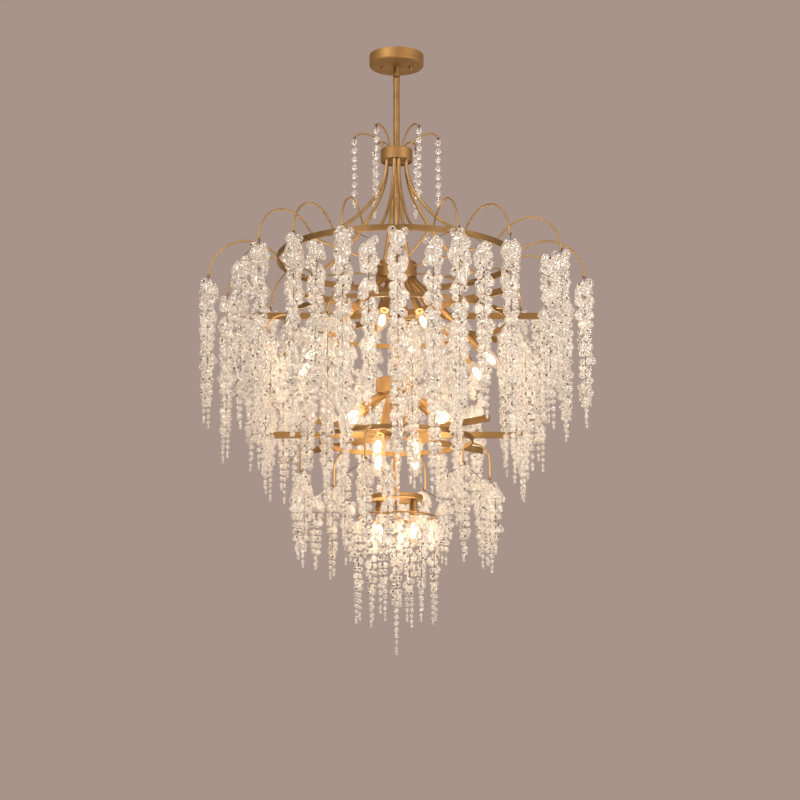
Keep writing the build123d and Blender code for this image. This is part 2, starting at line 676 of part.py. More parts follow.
def bead_string(top, bottom, end_radius):
    """A square wire from the top that turns into a string of four-sided beads."""
    waist = BEAD_WAIST / 2
    bead_count = max(1, round((top - bottom) / BEAD_PITCH))
    pitch = (top - bottom) / bead_count
    with BuildPart() as beads:
        for bead in range(bead_count):
            shrink = (BEAD_DIAMETER / 2 - end_radius) * bead / bead_count
            for height, radius in ((0, waist), (BEAD_BELLY, BEAD_DIAMETER / 2 - shrink)):
                with BuildSketch(Plane.XY.offset(top - (bead + height) * pitch)):
                    RegularPolygon(radius, BEAD_SIDES)
        with BuildSketch(Plane.XY.offset(bottom)):
            RegularPolygon(waist, BEAD_SIDES)
        loft(ruled=True)
    return beads.part


def glass_drop(radius, top, length, width):
    """One long four-sided drop that leans out from the wire."""
    belly = Vector(radius * DROP_BELLY, 0, top - length * DROP_BELLY)
    with BuildPart() as drop:
        with BuildSketch(Plane(belly, z_dir=(radius, 0, -length))) as girdle:
            RegularPolygon(width / 2, DROP_SIDES, rotation=180 / DROP_SIDES)
        loft([Vertex(0, 0, top), girdle.sketch, Vertex(radius, 0, top - length)], ruled=True)
    return drop.part


def whorled_string(top, bottom, whorl_count, top_size=1):
    """A square wire with whorls of leaning drops on it and a tail of beads below."""
    whorl_top = top - BUNCH_TOP_GAP
    tail_top = whorl_top - WHORL_PITCH * whorl_count
    with BuildPart() as string:
        with BuildSketch(Plane.XY.offset(top)):
            Rectangle(BUNCH_WIRE, BUNCH_WIRE)
        extrude(amount=tail_top - top)
        for whorl in range(whorl_count):
            size = top_size - WHORL_SHRINK * whorl
            drop = glass_drop(
                WHORL_RADIUS * size,
                whorl_top - whorl * WHORL_PITCH,
                DROP_LENGTH * size,
                DROP_WIDTH * size,
            )
            with Locations(around(evenly(DROP_COUNT, 180 / DROP_COUNT * whorl))):
                add(drop)
        add(bead_string(tail_top, bottom, BEAD_WAIST))
    return string.part


def crystal_bunch(length, whorl_count, side_strings=()):
    """A hanging bunch: an eye, the whorled string under it and any strings tied in beside it."""
    knot = Vector(0, 0, -EYE_DIAMETER / 2)
    with BuildPart() as bunch:
        add(hanging_eye())
        add(whorled_string(knot.Z, -length, whorl_count))
        for aside, side_length, side_whorls in side_strings:
            side_top = Vector(0, aside, -SIDE_STRING_DROP)
            add(rod_along(Edge.make_line(knot, side_top), BUNCH_WIRE))
            with Locations((0, aside, 0)):
                add(whorled_string(side_top.Z + BUNCH_WIRE / 2, -side_length, side_whorls))
    return bunch.part


def hang(shape, name, tip, azimuth):
    """Hang a piece with its eye on the peg of one wire tip and write it."""
    place = Location((0, 0, 0), (0, 0, azimuth)) * Location((tip[0], peg_offset, tip[1]))
    save(copies(shape, [place]), name)


def hang_tier(tier_name, tip, azimuths, shapes):
    """Hang one tier's bunches, taking the shapes in turn."""
    for number, azimuth in enumerate(azimuths):
        hang(shapes[number % len(shapes)], f"{tier_name}_{number + 1:02d}", tip, azimuth)


short_bunch = crystal_bunch(*SHORT_BUNCH)
medium_bunch = crystal_bunch(*MEDIUM_BUNCH)
long_bunch = crystal_bunch(*LONG_BUNCH)
front_bunch = crystal_bunch(*FRONT_BUNCH)
middle_bunch = crystal_bunch(*SHORT_BUNCH, MIDDLE_SIDE_STRINGS)
long_middle_bunch = crystal_bunch(*LONG_MIDDLE_BUNCH, LONG_MIDDLE_SIDE_STRINGS)
lower_bunch = crystal_bunch(*LOWER_BUNCH, LOWER_SIDE_STRINGS)
left_pair = crystal_bunch(*MEDIUM_BUNCH, LEFT_SIDE_STRINGS)
right_pair = crystal_bunch(*LONG_BUNCH, RIGHT_SIDE_STRINGS)
triple_bunch = crystal_bunch(*LONG_BUNCH, BOTH_SIDE_STRINGS)
back_shapes = (
    short_bunch, short_bunch, triple_bunch, right_pair,
    triple_bunch, right_pair, triple_bunch, medium_bunch,
)
front_shapes = (
    short_bunch, left_pair, right_pair, right_pair,
    front_bunch, triple_bunch, long_bunch, left_pair,
)
hang_tier("outer_bunch", outer_tip, OUTER_AZIMUTHS, back_shapes + front_shapes)
middle_shapes = (middle_bunch, long_middle_bunch, long_middle_bunch, middle_bunch)
hang_tier("middle_bunch", mid_tip, mid_azimuths, middle_shapes)
hang_tier("lower_bunch", lower_tip, lower_azimuths, (lower_bunch,))

# Crown strands: beads from the eye down
with BuildPart() as crown_strand:
    add(hanging_eye())
    add(bead_string(-EYE_DIAMETER / 2, -CROWN_STRAND_LENGTH, BEAD_DIAMETER / 2))
hang_tier("crown_strand", crown_tip, crown_azimuths, (crown_strand.part,))

# Bottom tassel: a stem, a hoop on one cross bar that passes between the lamps, and seven strands
hoop_height = -TASSEL_STEM_LENGTH
strand_top = hoop_height - TASSEL_HOOP_DIAMETER
strand_turns = evenly(TASSEL_STRAND_COUNT, TASSEL_STRAND_TURN)
with BuildPart() as tassel:
    add(hanging_eye())
    with BuildSketch(Plane.XY.offset(-EYE_DIAMETER / 2)):
        RegularPolygon(TASSEL_STEM_DIAMETER / 2, EYE_SIDES)
    extrude(amount=hoop_height + EYE_DIAMETER / 2)
    with BuildSketch(Plane.XY.offset(hoop_height)):
        Circle(TASSEL_HOOP_RADIUS + TASSEL_HOOP_DIAMETER / 2)
        Circle(TASSEL_HOOP_RADIUS - TASSEL_HOOP_DIAMETER / 2, mode=Mode.SUBTRACT)
        Rectangle(TASSEL_HOOP_DIAMETER, 2 * TASSEL_HOOP_RADIUS, rotation=BOTTOM_LAMP_TURN)
    extrude(amount=-TASSEL_HOOP_DIAMETER)
    with Locations([turn * Location((TASSEL_HOOP_RADIUS, 0, 0)) for turn in around(strand_turns)]):
        add(whorled_string(strand_top, strand_top - TASSEL_BUNCH[0], TASSEL_BUNCH[1], TASSEL_WHORL_SIZE))
    add(bead_string(strand_top, strand_top - TASSEL_CENTRE_LENGTH, BEAD_WAIST))
save(copies(tassel.part, [Location((0, 0, tassel_pivot))]), "bottom_tassel")
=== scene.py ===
"""Looks of the crystal waterfall chandelier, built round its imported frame. Metres, ceiling at zero."""

import json
from math import atan2, cos, pi, radians, sin

import bmesh
import bpy
from mathutils import Matrix, Vector

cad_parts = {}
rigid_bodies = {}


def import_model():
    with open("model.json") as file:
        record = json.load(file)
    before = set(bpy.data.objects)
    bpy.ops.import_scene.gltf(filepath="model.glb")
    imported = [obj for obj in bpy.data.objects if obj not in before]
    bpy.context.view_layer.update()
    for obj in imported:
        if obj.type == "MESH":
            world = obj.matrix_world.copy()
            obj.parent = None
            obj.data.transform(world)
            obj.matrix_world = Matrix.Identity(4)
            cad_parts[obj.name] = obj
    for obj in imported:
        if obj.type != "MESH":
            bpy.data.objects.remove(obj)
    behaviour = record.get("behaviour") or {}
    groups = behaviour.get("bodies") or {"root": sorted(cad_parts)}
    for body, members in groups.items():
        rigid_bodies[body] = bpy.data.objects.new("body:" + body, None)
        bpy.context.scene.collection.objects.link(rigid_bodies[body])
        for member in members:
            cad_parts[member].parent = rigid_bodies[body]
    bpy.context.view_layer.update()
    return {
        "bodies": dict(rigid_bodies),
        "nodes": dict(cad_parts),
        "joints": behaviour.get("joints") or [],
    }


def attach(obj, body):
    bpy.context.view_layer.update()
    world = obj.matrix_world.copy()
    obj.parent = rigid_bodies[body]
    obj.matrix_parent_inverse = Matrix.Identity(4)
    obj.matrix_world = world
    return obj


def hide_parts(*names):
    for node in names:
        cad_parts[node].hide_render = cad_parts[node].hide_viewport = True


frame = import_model()
MM = 0.001
X_WAY, Y_WAY, Z_WAY = Vector((1, 0, 0)), Vector((0, 1, 0)), Vector((0, 0, 1))

# Where the crystal hangs: the joint that each body swings on
JOINTS = {joint["child"]: joint for joint in frame["joints"]}

# Bottom tassel: an eye, a stem, a cross bar and a hoop, with strands round the hoop and one in the middle
TASSEL_PIVOT = JOINTS["bottom_tassel"]["pos_m"][2]
TASSEL_STEM = 30 * MM
TASSEL_STEM_WIRE = 4.5 * MM
TASSEL_EYE_WIRE = 2.4 * MM
TASSEL_HOOP_RADIUS = 95 * MM
TASSEL_HOOP_WIRE = 5 * MM
TASSEL_HOOP_STEPS = 96
TASSEL_HOOP_SIDES = 10
TASSEL_STRAND_TURNS = tuple(10 + 60 * step for step in range(6))
TASSEL_BAR_TURN = 70
TASSEL_SEED = 161
TASSEL_CENTRE_SEED = 187

# Lamps: the radius and height of each bulb's middle, its lean from upright, and the azimuths of its ring
STEEP_UPPER_LAMPS = (135 * MM, -734 * MM, 34.5, (75, 120, 255, 300))
WIDE_UPPER_LAMPS = (240 * MM, -814 * MM, 42.4, (30, 165, 210, 345))
STEEP_LOWER_LAMPS = (120 * MM, -1046 * MM, 28.3, (67.5, 112.5, 247.5, 292.5))
WIDE_LOWER_LAMPS = (122 * MM, -956 * MM, 53.6, (22.5, 157.5, 202.5, 337.5))
BOTTOM_LAMPS = (45 * MM, -1238 * MM, 0, (-20, 160))
BULB_WATTS = 0.5
HEART_WIDTH = 16 * MM
HEART_LENGTH = 38 * MM

# Glass pieces, as they leave the mould; a profile gives shares of the length, width and thickness
BELL_HEIGHT = 25 * MM
BELL_RADIUS = 20 * MM
BELL_NECK = 4 * MM
BELL_WALL = 2.4 * MM
BELL_NECK_WALL_SHARE = 0.4
BELL_LOBES = 5
BELL_STEPS_IN_LOBE = 4
BELL_FLUTE = 0.13
BELL_RIM_WAVE = 0.1
BELL_PROFILE = ((0, 0), (0.1, 0.45), (0.45, 0.8), (1, 1))
BALL_DIAMETER = 22 * MM
BALL_TURNS = (0, 36, 72, 108, 144, 180)
PETAL_LENGTH = 35 * MM
PETAL_WIDTH = 25 * MM
PETAL_THICKNESS = 7 * MM
PETAL_LEAN = 8 * MM
PETAL_LEAN_POWER = 0.7
PETAL_CURL = 0.18
PETAL_CURL_POWER = 4
PETAL_PROFILE = ((0, 0, 0), (0.14, 0.42, 0.7), (0.4, 0.85, 1), (0.66, 1, 0.95), (0.88, 0.66, 0.8), (1, 0, 0))
PEAR_LENGTH = 32 * MM
PEAR_WIDTH = 20 * MM
PEAR_PROFILE = ((0, 0), (0.12, 0.26), (0.38, 0.62), (0.66, 1), (0.88, 0.74), (1, 0))
BEAD_HEIGHT = 12 * MM
BEAD_WIDTH = 13 * MM
BEAD_PROFILE = ((0, 0), (0.08, 0.56), (0.34, 0.97), (0.66, 0.97), (0.92, 0.56), (1, 0))
PIN_RADIUS = 2.5 * MM
PIN_PROFILE = ((1, 0), (0.5, 0.87), (-0.5, 0.87), (-1, 0))

# How the pieces sit on a string's wire
WHORL_EASING = 0.2
WHORL_TWIST = 41
PIN_REACH = 1.22
PIN_TURN = 45
PEAR_TILT = -0.25
SMALLEST_WAVER, LARGEST_WAVER = 0.8, 1.18
REMAINDER_LIMIT = 0.5

# A seat's lot says which piece it gets; petals are favoured at the top and balls at the lower end
LOWEST_LOT, BALL_LIMIT, PEAR_LIMIT, HIGHEST_LOT = -1, 0.74, 0.88, 2
TOP_FAVOUR, LOWEST_FAVOUR = 0.1, -0.3
PIN_LIMIT = 0.42

# Eyes, wires and threads of the strings; heights are measured from the peg
EYE_RADIUS = 3.2 * MM
EYE_STEPS = 16
EYE_FOOT = -4 * MM
WIRE_SIDES = 6
THREAD_RADIUS = 0.6 * MM
THREAD_SIDES = 5
SHORTEST_TAIL, NEXT_LONGEST_TAIL = 0.5, 0.88
TAIL_END_SCALE = (0.36, 0.36, 0.5)

# Patterns of the finishes; the brush lines are 0.4 mm apart, drawn at 0.8 mm so that they show
BRUSH_LINE = 0.8 * MM
BRUSH_DRAWN_OUT = (1, 1, 0.06)
BRUSH_DEPTH = 0.1 * MM
BRASS_PATCH = 45 * MM
RUBBED_STRETCH = 12 * MM
ZINC_SPANGLE = 6 * MM
MOULD_RIPPLE = 14 * MM
MOULD_RIPPLE_DEPTH = 1.0 * MM
BULB_HAZE = 30 * MM
FILAMENT_COIL = 14 * MM
CLEAR = (1, 1, 1, 1)


def srgb(code):
    """Linear colour of an sRGB hex value."""
    channels = [int(code[place:place + 2], 16) / 255 for place in (1, 3, 5)]
    return tuple(c / 12.92 if c <= 0.04045 else ((c + 0.055) / 1.055) ** 2.4 for c in channels) + (1.0,)


def add_node(tree, kind, inputs=None, stops=(), **settings):
    """Add a node, give it its settings and colour stops, and set or link its inputs."""
    node = tree.nodes.new(kind)
    for name, value in settings.items():
        setattr(node, name, value)
    for number, (position, code) in enumerate(stops):
        node.color_ramp.elements[number].position = position
        node.color_ramp.elements[number].color = srgb(code)
    for socket, value in (inputs or {}).items():
        if isinstance(value, bpy.types.NodeSocket):
            tree.links.new(value, node.inputs[socket])
        else:
            node.inputs[socket].default_value = value
    return node


def new_material(name):
    """A material with an empty tree and its output node."""
    material = bpy.data.materials.new(name)
    material.use_nodes = True
    material.node_tree.nodes.clear()
    return material, material.node_tree, add_node(material.node_tree, "ShaderNodeOutputMaterial")


def satin_brass(name, dark, pale):
    """Lacquered brass, brushed: a soft gold gleam, drawn out by hair-fine lines, darker in patches."""
    material, tree, output = new_material(name)
    place = add_node(tree, "ShaderNodeTexCoord")
    brushing = add_node(tree, "ShaderNodeMapping", {
        "Vector": place.outputs["Object"], "Scale": BRUSH_DRAWN_OUT})
    lines = add_node(tree, "ShaderNodeTexNoise", {
        "Vector": brushing.outputs[0], "Scale": 1 / BRUSH_LINE, "Detail": 2.0})
    patches = add_node(tree, "ShaderNodeTexNoise", {
        "Vector": place.outputs["Object"], "Scale": 1 / BRASS_PATCH, "Detail": 3.0})
    tone = add_node(tree, "ShaderNodeValToRGB", {
        "Fac": patches.outputs["Fac"]}, stops=((0.3, dark), (0.7, pale)))
    gloss = add_node(tree, "ShaderNodeMapRange", {
        "Value": lines.outputs["Fac"], "To Min": 0.54, "To Max": 0.7})
    relief = add_node(tree, "ShaderNodeBump", {
        "Height": lines.outputs["Fac"], "Strength": 0.12, "Distance": BRUSH_DEPTH})
    metal = add_node(tree, "ShaderNodeBsdfPrincipled", {
        "Base Color": tone.outputs["Color"], "Metallic": 1.0, "Roughness": gloss.outputs["Result"],
        "Normal": relief.outputs["Normal"], "Coat Weight": 0.06, "Coat Roughness": 0.3})
    tree.links.new(metal.outputs[0], output.inputs["Surface"])
    return material


def aged_brass_wire():
    """Drawn brass wire gone brown: dull dark gold, with paler rubbed stretches."""
    material, tree, output = new_material("aged_drawn_brass_wire")
    place = add_node(tree, "ShaderNodeTexCoord")
    rubbing = add_node(tree, "ShaderNodeTexNoise", {
        "Vector": place.outputs["Object"], "Scale": 1 / RUBBED_STRETCH, "Detail": 2.0})
    tone = add_node(tree, "ShaderNodeValToRGB", {
        "Fac": rubbing.outputs["Fac"]}, stops=((0.35, "#2b1b0a"), (0.7, "#6b4a20")))
    metal = add_node(tree, "ShaderNodeBsdfPrincipled", {
        "Base Color": tone.outputs["Color"], "Metallic": 1.0, "Roughness": 0.42})
    tree.links.new(metal.outputs[0], output.inputs["Surface"])
    return material


def zinc_steel():
    """Zinc-plated steel, pressed: dull grey with the cloudy crystals of the plating."""
    material, tree, output = new_material("zinc_plated_steel")
    place = add_node(tree, "ShaderNodeTexCoord")
    spangle = add_node(tree, "ShaderNodeTexVoronoi", {
        "Vector": place.outputs["Object"], "Scale": 1 / ZINC_SPANGLE})
    tone = add_node(tree, "ShaderNodeValToRGB", {
        "Fac": spangle.outputs["Distance"]}, stops=((0, "#8d9093"), (1, "#b4b6b8")))
    gloss = add_node(tree, "ShaderNodeMapRange", {
        "Value": spangle.outputs["Distance"], "To Min": 0.3, "To Max": 0.5})
    metal = add_node(tree, "ShaderNodeBsdfPrincipled", {
        "Base Color": tone.outputs["Color"], "Metallic": 1.0, "Roughness": gloss.outputs["Result"]})
    tree.links.new(metal.outputs[0], output.inputs["Surface"])
    return material


def pressed_crystal():
    """Clear pressed lead glass: bright edges and pinpoint gleams, a faint milkiness from the mould's skin."""
    material, tree, output = new_material("pressed_clear_crystal")
    place = add_node(tree, "ShaderNodeTexCoord")
    ripple = add_node(tree, "ShaderNodeTexNoise", {
        "Vector": place.outputs["Object"], "Scale": 1 / MOULD_RIPPLE, "Detail": 1.0})
    tone = add_node(tree, "ShaderNodeValToRGB", {
        "Fac": ripple.outputs["Fac"]}, stops=((0.35, "#f3e9dc"), (0.65, "#fffdf8")))
    gloss = add_node(tree, "ShaderNodeMapRange", {
        "Value": ripple.outputs["Fac"], "To Min": 0.03, "To Max": 0.08})
    relief = add_node(tree, "ShaderNodeBump", {
        "Height": ripple.outputs["Fac"], "Strength": 0.1, "Distance": MOULD_RIPPLE_DEPTH})
    glass = add_node(tree, "ShaderNodeBsdfPrincipled", {
        "Base Color": tone.outputs["Color"], "Roughness": gloss.outputs["Result"], "IOR": 1.54,
        "Transmission Weight": 0.8, "Specular IOR Level": 0.8, "Coat Weight": 0.8, "Coat IOR": 2.2,
        "Coat Roughness": 0.06, "Normal": relief.outputs["Normal"]})
    clear = add_node(tree, "ShaderNodeBsdfTransparent", {"Color": CLEAR})
    # A piece is clear where it faces the eye and bright at its rim
    facing = add_node(tree, "ShaderNodeLayerWeight", {"Blend": 0.4})
    clearness = add_node(tree, "ShaderNodeMapRange", {
        "Value": facing.outputs["Facing"], "To Min": 0.55, "To Max": 0.0})
    # Each wall passes most of a shadow ray, so the lamps also light the crystal behind the crystal
    rays = add_node(tree, "ShaderNodeLightPath")
    shade = add_node(tree, "ShaderNodeMath", {
        0: rays.outputs["Is Shadow Ray"], 1: 0.94}, operation="MULTIPLY")
    through = add_node(tree, "ShaderNodeMath", {
        0: shade.outputs[0], 1: clearness.outputs["Result"]}, operation="MAXIMUM")
    mixed = add_node(tree, "ShaderNodeMixShader", {
        0: through.outputs[0], 1: glass.outputs[0], 2: clear.outputs[0]})
    tree.links.new(mixed.outputs[0], output.inputs["Surface"])
    return material


def lit_bulb_glass():
    """Blown clear bulb, lit: the envelope only carries a warm haze of the light inside it."""
    material, tree, output = new_material("blown_bulb_glass_lit")
    place = add_node(tree, "ShaderNodeTexCoord")
    haze = add_node(tree, "ShaderNodeTexNoise", {
        "Vector": place.outputs["Object"], "Scale": 1 / BULB_HAZE, "Detail": 1.0})
    glow = add_node(tree, "ShaderNodeValToRGB", {
        "Fac": haze.outputs["Fac"]}, stops=((0, "#ffc987"), (1, "#ffe3b8")))
    glass = add_node(tree, "ShaderNodeBsdfPrincipled", {
        "Base Color": srgb("#fff4e2"), "Roughness": 0.08, "IOR": 1.08, "Transmission Weight": 1.0,
        "Emission Color": glow.outputs["Color"], "Emission Strength": 0.6})
    clear = add_node(tree, "ShaderNodeBsdfTransparent", {"Color": CLEAR})
    rays = add_node(tree, "ShaderNodeLightPath")
    through = add_node(tree, "ShaderNodeMapRange", {
        "Value": rays.outputs["Is Shadow Ray"], "To Min": 0.7, "To Max": 1.0})
    mixed = add_node(tree, "ShaderNodeMixShader", {
        0: through.outputs["Result"], 1: glass.outputs[0], 2: clear.outputs[0]})
    tree.links.new(mixed.outputs[0], output.inputs["Surface"])
    return material


def glowing_filament():
    """The lit filament's blaze: nearly white, and golden in patches along its coil."""
    material, tree, output = new_material("glowing_tungsten_filament")
    place = add_node(tree, "ShaderNodeTexCoord")
    coil = add_node(tree, "ShaderNodeTexNoise", {
        "Vector": place.outputs["Object"], "Scale": 1 / FILAMENT_COIL, "Detail": 1.0})
    glow = add_node(tree, "ShaderNodeValToRGB", {
        "Fac": coil.outputs["Fac"]}, stops=((0, "#ffd9a0"), (1, "#fff4dc")))
    blaze = add_node(tree, "ShaderNodeBsdfPrincipled", {
        "Base Color": srgb("#fff4e2"), "Roughness": 0.5,
        "Emission Color": glow.outputs["Color"], "Emission Strength": 9.0})
    clear = add_node(tree, "ShaderNodeBsdfTransparent", {"Color": CLEAR})
    rays = add_node(tree, "ShaderNodeLightPath")
    mixed = add_node(tree, "ShaderNodeMixShader", {
        0: rays.outputs["Is Shadow Ray"], 1: blaze.outputs[0], 2: clear.outputs[0]})
    tree.links.new(mixed.outputs[0], output.inputs["Surface"])
    return material


BRASS = satin_brass("satin_lacquered_brass", "#94734a", "#a88657")
# A paler copy of the brass for the canopy: painted light on the cup
CANOPY_BRASS_PAINTED_LIGHT = satin_brass("satin_lacquered_brass_painted_light", "#9c7a4c", "#b18c58")
# A paler copy of the brass for the crown wires, arms, struts and arches: painted highlights
WIRE_BRASS_PAINTED_HIGHLIGHT = satin_brass("satin_lacquered_brass_painted_highlight", "#a78a5e", "#bea073")
# A darker copy of the brass for the top ring, tier spokes and tier rings: painted shade
BAR_BRASS_PAINTED_SHADE = satin_brass("satin_lacquered_brass_painted_shade", "#7f633f", "#92744b")
DARK_BRASS = aged_brass_wire()
STEEL = zinc_steel()
CRYSTAL = pressed_crystal()
BULB_GLASS = lit_bulb_glass()
FILAMENT = glowing_filament()
NODE_MATERIALS = {
    "mounting_crossbar": STEEL, "canopy_studs": STEEL, "hanger_nipple": STEEL, "bulbs": BULB_GLASS,
    "crown_wires": WIRE_BRASS_PAINTED_HIGHLIGHT, "main_arms": WIRE_BRASS_PAINTED_HIGHLIGHT, "ring_struts": WIRE_BRASS_PAINTED_HIGHLIGHT,
    "outer_arches": WIRE_BRASS_PAINTED_HIGHLIGHT, "inner_arches": WIRE_BRASS_PAINTED_HIGHLIGHT, "canopy": CANOPY_BRASS_PAINTED_LIGHT, "top_ring": BAR_BRASS_PAINTED_SHADE,
    "tier_spokes": BAR_BRASS_PAINTED_SHADE, "tier_rings": BAR_BRASS_PAINTED_SHADE,
}
for name, node in frame["nodes"].items():
    node.data.materials.clear()
    node.data.materials.append(NODE_MATERIALS.get(name, BRASS))


def in_scene(name, data):
    """A new object, put into the scene."""
    thing = bpy.data.objects.new(name, data)
    bpy.context.scene.collection.objects.link(thing)
    return thing


def plain_mesh(name, shape):
    """Keep a finished shape as a mesh."""
    mesh = bpy.data.meshes.new(name)
    shape.to_mesh(mesh)
    shape.free()
    return mesh


def bridge(shape, upper, lower):
    """Add a band of faces between two rings with as many points."""
    for step in range(len(upper)):
        after = (step + 1) % len(upper)
        shape.faces.new((upper[step], lower[step], lower[after], upper[after]))


def round_bar(shape, start, end, radius, sides):
    """Add a closed round bar between two points."""
    way = Vector(end) - Vector(start)
    turn = way.to_track_quat("Z", "Y").to_matrix().to_4x4()
    bmesh.ops.create_cone(
        shape, cap_ends=True, segments=sides, radius1=radius, radius2=radius, depth=way.length,
        matrix=Matrix.Translation((Vector(start) + Vector(end)) / 2) @ turn)


def wire_loop(shape, centre, across, axis, radius, wire, steps, sides):
    """Add a loop of round wire about an axis, in the plane of X and the direction across."""
    rings = []
    for step in range(steps):
        angle = 2 * pi * step / steps
        out = X_WAY * cos(angle) + across * sin(angle)
        rings.append([
            shape.verts.new(centre + out * radius + (out * cos(turn) + axis * sin(turn)) * wire / 2)
            for turn in (2 * pi * side / sides for side in range(sides))])
    for ring, after in zip(rings, rings[1:] + rings[:1]):
        bridge(shape, ring, after)


def lofted(name, stations, sides):
    """A closed smooth piece lofted from rings: centre, half width, half thickness at each station."""
    shape = bmesh.new()
    rings = []
    for centre, half_width, half_thickness in stations[1:-1]:
        ring = []
        for side in range(sides):
            angle = 2 * pi * side / sides
            ring.append(shape.verts.new(
                Vector(centre) + Vector((half_thickness * cos(angle), half_width * sin(angle), 0))))
        rings.append(ring)
    top = shape.verts.new(Vector(stations[0][0]))
    tip = shape.verts.new(Vector(stations[-1][0]))
    for side in range(sides):
        after = (side + 1) % sides
        shape.faces.new((top, rings[0][side], rings[0][after]))
        for upper, lower in zip(rings, rings[1:]):
            shape.faces.new((upper[side], lower[side], lower[after], upper[after]))
        shape.faces.new((rings[-1][side], tip, rings[-1][after]))
    bmesh.ops.recalc_face_normals(shape, faces=shape.faces)
    for face in shape.faces:
        face.smooth = True
    return bpy.data.objects.new(name, plain_mesh(name, shape))


def turned(name, stations, sides):
    """A round piece: its height and radius at each station."""
    return lofted(name, [((0, 0, height), radius, radius) for height, radius in stations], sides)


def ball():
    """A round clear ball."""
    return turned("ball", [
        (BALL_DIAMETER / 2 * cos(radians(turn)), BALL_DIAMETER / 2 * sin(radians(turn)))
        for turn in BALL_TURNS], sides=10)


def petal():
    """A cupped petal that hangs from its point and leans out from the wire."""
    stations = []
    for run, width, thickness in PETAL_PROFILE:
        lean = PETAL_LEAN * (run ** PETAL_LEAN_POWER - PETAL_CURL * run ** PETAL_CURL_POWER)
        centre = (lean, 0, -PETAL_LENGTH * run)
        stations.append((centre, PETAL_WIDTH / 2 * width, PETAL_THICKNESS / 2 * thickness))
    return lofted("petal", stations, sides=6)


def pear():
    """A round pear-shaped drop, hung by its neck."""
    return turned("pear", [
        (-PEAR_LENGTH * run, PEAR_WIDTH / 2 * width) for run, width in PEAR_PROFILE], sides=8)


def bead():
    """A round bead, a little flattened where the thread goes through."""
    return turned("bead", [
        (BEAD_HEIGHT * (0.5 - run), BEAD_WIDTH / 2 * width) for run, width in BEAD_PROFILE], sides=8)


def pin():
    """The small dark head of the pin that holds a piece of glass on the wire."""
    return turned("pin", [
        (PIN_RADIUS * height, PIN_RADIUS * width) for height, width in PIN_PROFILE], sides=6)


def bell():
    """A fluted bell flower, open below, with a lobed rim and a wall that thins towards its neck."""
    around = BELL_LOBES * BELL_STEPS_IN_LOBE
    shape = bmesh.new()
    walls = []
    for wall in (0, BELL_WALL):
        rings = []
        for drop, spread in BELL_PROFILE:
            local_wall = wall * (BELL_NECK_WALL_SHARE + (1 - BELL_NECK_WALL_SHARE) * spread)
            ring = []
            for step in range(around):
                angle = 2 * pi * step / around
                wave = cos(BELL_LOBES * angle)
                radius = max(BELL_NECK, BELL_RADIUS * spread) * (1 + BELL_FLUTE * spread * wave) - local_wall
                height = -BELL_HEIGHT * drop * (1 + BELL_RIM_WAVE * wave) - wall * (1 - drop)
                ring.append(shape.verts.new((radius * cos(angle), radius * sin(angle), height)))
            rings.append(ring)
        walls.append(rings)
    for rings in walls:
        for upper, lower in zip(rings, rings[1:]):
            bridge(shape, upper, lower)
        shape.faces.new(rings[0])
    outside, inside = walls
    bridge(shape, outside[-1], inside[-1])
    bmesh.ops.recalc_face_normals(shape, faces=shape.faces)
    for face in shape.faces:
        face.smooth = True
    return bpy.data.objects.new("bell", plain_mesh("bell", shape))


STRING_SOCKETS = {
    "NodeSocketObject": ("Bell", "Ball", "Petal", "Pear", "Bead", "Pin"),
    "NodeSocketBool": ("Flowers", "Eye"),
    "NodeSocketInt": ("Whorls", "Round", "Tails", "Seed"),
    "NodeSocketFloat": (
        "Bell every", "Whorl top", "Whorl bottom", "Whorl radius", "Top size", "Lowest size", "Unevenness",
        "Bead pitch", "Tail top", "Tail length", "Tail spread", "First bead", "Last bead", "Wire"),
    "NodeSocketMaterial": ("Glass", "Metal"),
}


def whorl_spots(tree, given):
    """Spots down the wire, closer together towards its lower end, and the size of the pieces at each."""
    along = add_node(tree, "GeometryNodeSplineParameter").outputs["Factor"]
    first = add_node(tree, "ShaderNodeCombineXYZ", {"Z": given["Whorl top"]}).outputs[0]
    last = add_node(tree, "ShaderNodeCombineXYZ", {"Z": given["Whorl bottom"]}).outputs[0]
    spine = add_node(tree, "GeometryNodeCurvePrimitiveLine", {"Start": first, "End": last}).outputs[0]
    even_spots = add_node(tree, "GeometryNodeResampleCurve", {
        "Curve": spine, "Count": given["Whorls"]}).outputs[0]
    slope = add_node(tree, "ShaderNodeMath", {
        0: along, 1: -WHORL_EASING, 2: 1 + WHORL_EASING}, operation="MULTIPLY_ADD").outputs[0]
    eased = add_node(tree, "ShaderNodeMath", {0: along, 1: slope}, operation="MULTIPLY").outputs[0]
    height = add_node(tree, "ShaderNodeMapRange", {
        "Value": eased, "To Min": given["Whorl top"], "To Max": given["Whorl bottom"]}).outputs["Result"]
    place = add_node(tree, "ShaderNodeCombineXYZ", {"Z": height}).outputs[0]
    spots = add_node(tree, "GeometryNodeSetPosition", {
        "Geometry": even_spots, "Position": place}).outputs[0]
    taper = add_node(tree, "ShaderNodeMapRange", {
        "Value": along, "To Min": given["Top size"], "To Max": given["Lowest size"]}).outputs["Result"]
    return spots, taper


